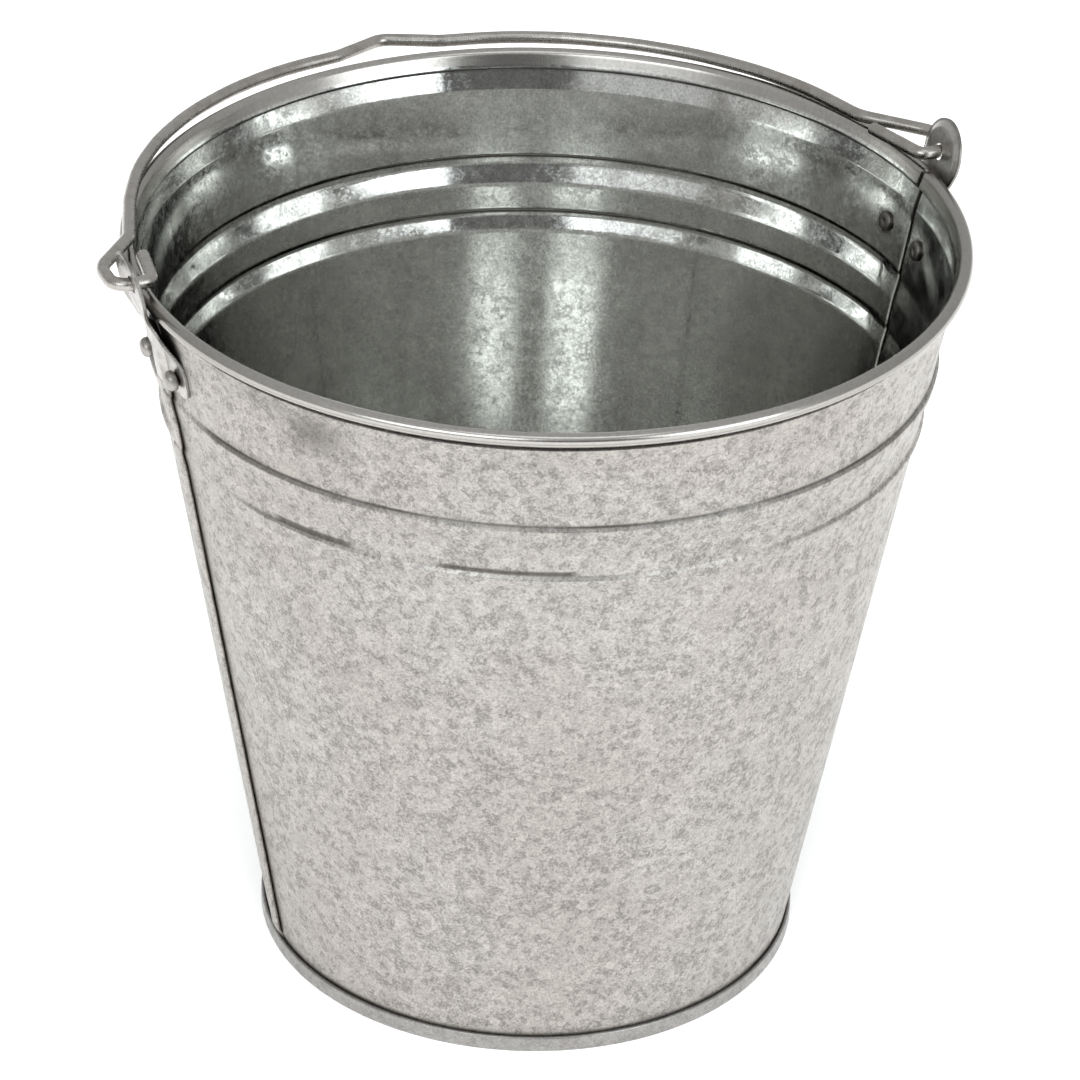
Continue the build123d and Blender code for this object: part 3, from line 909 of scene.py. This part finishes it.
for side, centre in (("right", 0.0), ("left", pi)):
    for place, shift in (("front", -1), ("back", 1)):
        node = f"{side}_{place}_rivet"
        sign = shift if side == "right" else -shift
        make_rivet(node + "_formed", node, centre + sign * RIVET_ANGLE)

# Bail ---------------------------------------------------------------------------------------

WIRE_RADIUS = 2.4
REST_TILT = radians(1.4)
BOW_RADIUS, BOW_CENTRE = 141.0, 14.8
GRIP_HALF, GRIP_PEAK = 20.5, 162.6
# Each hook's corners from its end inward: distance from the YZ plane, and from the hinge line.
HOOKS = {
    1: ((139.4, 26.0), (146.2, 0), (159.8, 0), (159.5, 15.5), (139.6, 38.0)),
    -1: ((143.0, 19.5), (146.2, 0), (159.8, 0), (159.5, 15.5), (143.0, 34.5)),
}
HOOK_RADII = [3.6, 6.0, 13.0, 16.0]
GRIP_RADII = [16, 9, 16]


def bow(first, last):
    """Points on the bow's circle, anticlockwise, a little wider apart than its corners."""
    count = round((last - first) / 11)
    step = (last - first) / count
    reach = BOW_RADIUS / cos(radians(step / 2))
    angles = np.radians(first + step * (np.arange(count) + 0.5))
    return [(reach * np.cos(a), BOW_CENTRE + reach * np.sin(a)) for a in angles]


grip_corner = (BOW_RADIUS**2 - GRIP_HALF**2) ** 0.5 + BOW_CENTRE - 0.6
grip_angle = np.degrees(atan(GRIP_HALF / BOW_RADIUS))
right_bow = bow(16, 90 - grip_angle - 5)
left_bow = bow(90 + grip_angle + 5, 165)
corners = (
    list(HOOKS[1]) + right_bow
    + [(GRIP_HALF, grip_corner), (0, GRIP_PEAK), (-GRIP_HALF, grip_corner)]
    + left_bow + [(-x, v) for x, v in reversed(HOOKS[-1])]
)
corner_radii = (
    [0] + HOOK_RADII + [0.8 * BOW_RADIUS] * len(right_bow) + GRIP_RADII
    + [0.8 * BOW_RADIUS] * len(left_bow) + HOOK_RADII[::-1] + [0]
)


def add_wire_coordinates(piece, columns, along):
    """Coordinates round the wire and along it, which the lines drawn along its length follow."""
    layer = piece.data.uv_layers.new(name="wire")
    body_faces = (len(along) - 1) * columns
    for polygon in piece.data.polygons:
        last_column = polygon.index % columns == columns - 1
        for loop_index in polygon.loop_indices:
            i, j = divmod(piece.data.loops[loop_index].vertex_index, columns)
            if polygon.index >= body_faces:
                layer.data[loop_index].uv = (0.5, 0.0)
            elif last_column and j == 0:
                layer.data[loop_index].uv = (1.0, along[i] * MM)
            else:
                layer.data[loop_index].uv = (j / columns, along[i] * MM)


def make_bail():
    """The drawn wire, swept along its bent line with slightly uneven thickness."""
    line = rounded(corners, corner_radii, step=1.1)
    count, columns = len(line), 24
    x, reach = line.T
    centre = np.stack([x, reach * cos(REST_TILT), HINGE_HEIGHT - reach * sin(REST_TILT)], 1)
    tangent = np.gradient(centre, axis=0)
    tangent /= np.linalg.norm(tangent, axis=1, keepdims=True)
    plane_normal = np.array([0, sin(REST_TILT), cos(REST_TILT)])
    side = np.cross(plane_normal, tangent)
    along = np.concatenate([[0], np.cumsum(np.linalg.norm(np.diff(centre, axis=0), axis=1))])
    loop = np.linspace(0, 2 * pi, columns, endpoint=False)
    thinning = 0.006 * (1 + np.sin(along * 0.11)) + 0.004 * (1 + np.sin(along * 0.37))
    thick = WIRE_RADIUS * (1 - thinning)[:, None]
    points = list((
        centre[:, None] + side[:, None] * (thick * np.cos(loop))[..., None]
        + plane_normal * (thick * np.sin(loop))[..., None]
    ).reshape(-1, 3))
    faces = []
    for i in range(count - 1):
        here, ahead = i * columns, (i + 1) * columns
        for j in range(columns):
            k = (j + 1) % columns
            faces.append((here + j, here + k, ahead + k, ahead + j))
    # The cut ends, closed by shrinking rings.
    for row, way in ((0, -1), (count - 1, 1)):
        previous = [row * columns + j for j in range(columns)]
        for inset, push in ((0.9, 0.28), (0.72, 0.45), (0.4, 0.52)):
            start = len(points)
            for j in range(columns):
                spoke = side[row] * cos(loop[j]) + plane_normal * sin(loop[j])
                points.append(centre[row] + tangent[row] * way * push + spoke * WIRE_RADIUS * inset)
            ring = list(range(start, start + columns))
            for j in range(columns):
                k = (j + 1) % columns
                faces.append((previous[j], previous[k], ring[k], ring[j]))
            previous = ring
        tip = len(points)
        points.append(centre[row] + tangent[row] * way * 0.55)
        faces += [(previous[j], previous[(j + 1) % columns], tip) for j in range(columns)]
    piece = add_piece("bail_wire_bent", points, faces, "bail", ["bail"], [wire_zinc])
    add_wire_coordinates(piece, columns, along)
    set_marks(piece, "dirt_and_painted_shade", np.zeros(len(piece.data.vertices)))


make_bail()

# Floor, light and camera --------------------------------------------------------------------

VIEW_AZIMUTH, VIEW_ELEVATION, VIEW_ROLL = radians(-23.54), radians(30.56), radians(1.85)
AIM = Vector((0.001, -0.0004, 0.1566))
DISTANCE = 1.8855
SENSOR_WIDTH, FOCAL_LENGTH = 36, 172.73
# Brightness of the surroundings by the sine of their elevation.
SKY = ((-1.0, 1.0), (0.0, 0.8), (0.12, 0.6), (0.5, 0.68), (1.0, 0.70))
# A dim patch of sky behind the camera, which the steep parts of the inner beads reflect: where
# it is, how nearly a direction must point there for it to start and be full, and its level.
GAP_AZIMUTH, GAP_ELEVATION = VIEW_AZIMUTH + radians(12.5), radians(8)
GAP_START, GAP_FULL, GAP_LEVEL = 0.935, 0.965, 0.27


def make_floor():
    """The white ground."""
    bpy.ops.mesh.primitive_plane_add(size=16)
    floor = bpy.context.object
    floor.name = "floor"
    paint = bpy.data.materials.new("floor_paint")
    paint.use_nodes = True
    shader = paint.node_tree.nodes["Principled BSDF"]
    shader.inputs["Base Color"].default_value = (0.9, 0.9, 0.9, 1)
    shader.inputs["Roughness"].default_value = 0.9
    shader.inputs["Specular IOR Level"].default_value = 0.0
    floor.data.materials.append(paint)


def map_range(tree, value, limits):
    """A node that maps a value, with its limits given by name."""
    node = tree.nodes.new("ShaderNodeMapRange")
    for key, number in limits.items():
        node.inputs[key].default_value = number
    tree.links.new(value, node.inputs["Value"])
    return node.outputs["Result"]


def make_sky():
    """Grey surroundings, brightest below the horizon, with a dim patch behind the camera."""
    world = bpy.data.worlds.new("studio")
    bpy.context.scene.world = world
    world.use_nodes = True
    tree = world.node_tree
    background = tree.nodes["Background"]
    direction = tree.nodes.new("ShaderNodeTexCoord").outputs["Generated"]
    split = tree.nodes.new("ShaderNodeSeparateXYZ")
    tree.links.new(direction, split.inputs[0])
    share = map_range(tree, split.outputs["Z"], {"From Min": -1, "From Max": 1})
    ramp = tree.nodes.new("ShaderNodeValToRGB")
    tree.links.new(share, ramp.inputs["Fac"])
    tree.links.new(ramp.outputs["Color"], background.inputs["Color"])
    ramp.color_ramp.elements[0].position = 0
    ramp.color_ramp.elements[1].position = 1
    for height, _ in SKY[1:-1]:
        ramp.color_ramp.elements.new((height + 1) / 2)
    for element, (_, level) in zip(ramp.color_ramp.elements, SKY):
        element.color = (level * 0.985, level, level * 0.995, 1)

    towards_gap = tree.nodes.new("ShaderNodeVectorMath")
    towards_gap.operation = "DOT_PRODUCT"
    way = (sin(GAP_AZIMUTH), -cos(GAP_AZIMUTH), sin(GAP_ELEVATION))
    towards_gap.inputs[1].default_value = way
    tree.links.new(direction, towards_gap.inputs[0])
    limits = {"From Min": GAP_START, "From Max": GAP_FULL, "To Min": 1.0, "To Max": GAP_LEVEL}
    strength = map_range(tree, towards_gap.outputs["Value"], limits)
    tree.links.new(strength, background.inputs["Strength"])


def towards(azimuth, elevation):
    """Unit vector from the object to a place seen at an azimuth from the front."""
    return Vector((sin(azimuth) * cos(elevation), -cos(azimuth) * cos(elevation), sin(elevation)))


def add_light(name, light, azimuth, elevation, distance):
    """Put a light round the object, facing it."""
    item = bpy.data.objects.new(name, light)
    bpy.context.scene.collection.objects.link(item)
    way = towards(azimuth, elevation)
    item.location = AIM + way * distance
    item.rotation_euler = way.to_track_quat("Z", "Y").to_euler()
    return item


def add_softbox(name, azimuth, elevation, width, height, radiance, distance=3.6):
    """An area light given by its angular size, all angles in degrees."""
    light = bpy.data.lights.new(name, "AREA")
    light.shape = "RECTANGLE"
    light.size = 2 * distance * tan(radians(width / 2))
    light.size_y = 2 * distance * tan(radians(height / 2))
    light.color = (0.92, 0.98, 1.0)
    light.energy = radiance * pi * light.size * light.size_y
    return add_light(name, light, radians(azimuth), radians(elevation), distance)


make_floor()
make_sky()
view_degrees = np.degrees(VIEW_AZIMUTH)
add_softbox("softbox_left", view_degrees - 25, 29, 36, 23, 3.2)
add_softbox("softbox_right", view_degrees + 47, 22, 32, 32, 2.9)
add_softbox("softbox_top", view_degrees + 8, 66, 34, 16, 1.5)
fill = bpy.data.lights.new("floor_light", "SUN")
fill.energy = 3.8
fill.angle = radians(70)
floor_light = add_light("floor_light", fill, VIEW_AZIMUTH, radians(52), 4)
floor_light.visible_glossy = False

lens = bpy.data.cameras.new("camera")
lens.sensor_width = SENSOR_WIDTH
lens.lens = FOCAL_LENGTH
lens.clip_end = 100
camera = bpy.data.objects.new("camera", lens)
bpy.context.scene.collection.objects.link(camera)
back = towards(VIEW_AZIMUTH, VIEW_ELEVATION)
camera.location = AIM + back * DISTANCE
level = back.to_track_quat("Z", "Y").to_matrix().to_4x4()
roll = Matrix.Rotation(VIEW_ROLL, 4, "Z")
camera.matrix_world = Matrix.Translation(camera.location) @ level @ roll
bpy.context.scene.camera = camera
bpy.context.scene.view_settings.view_transform = "Standard"
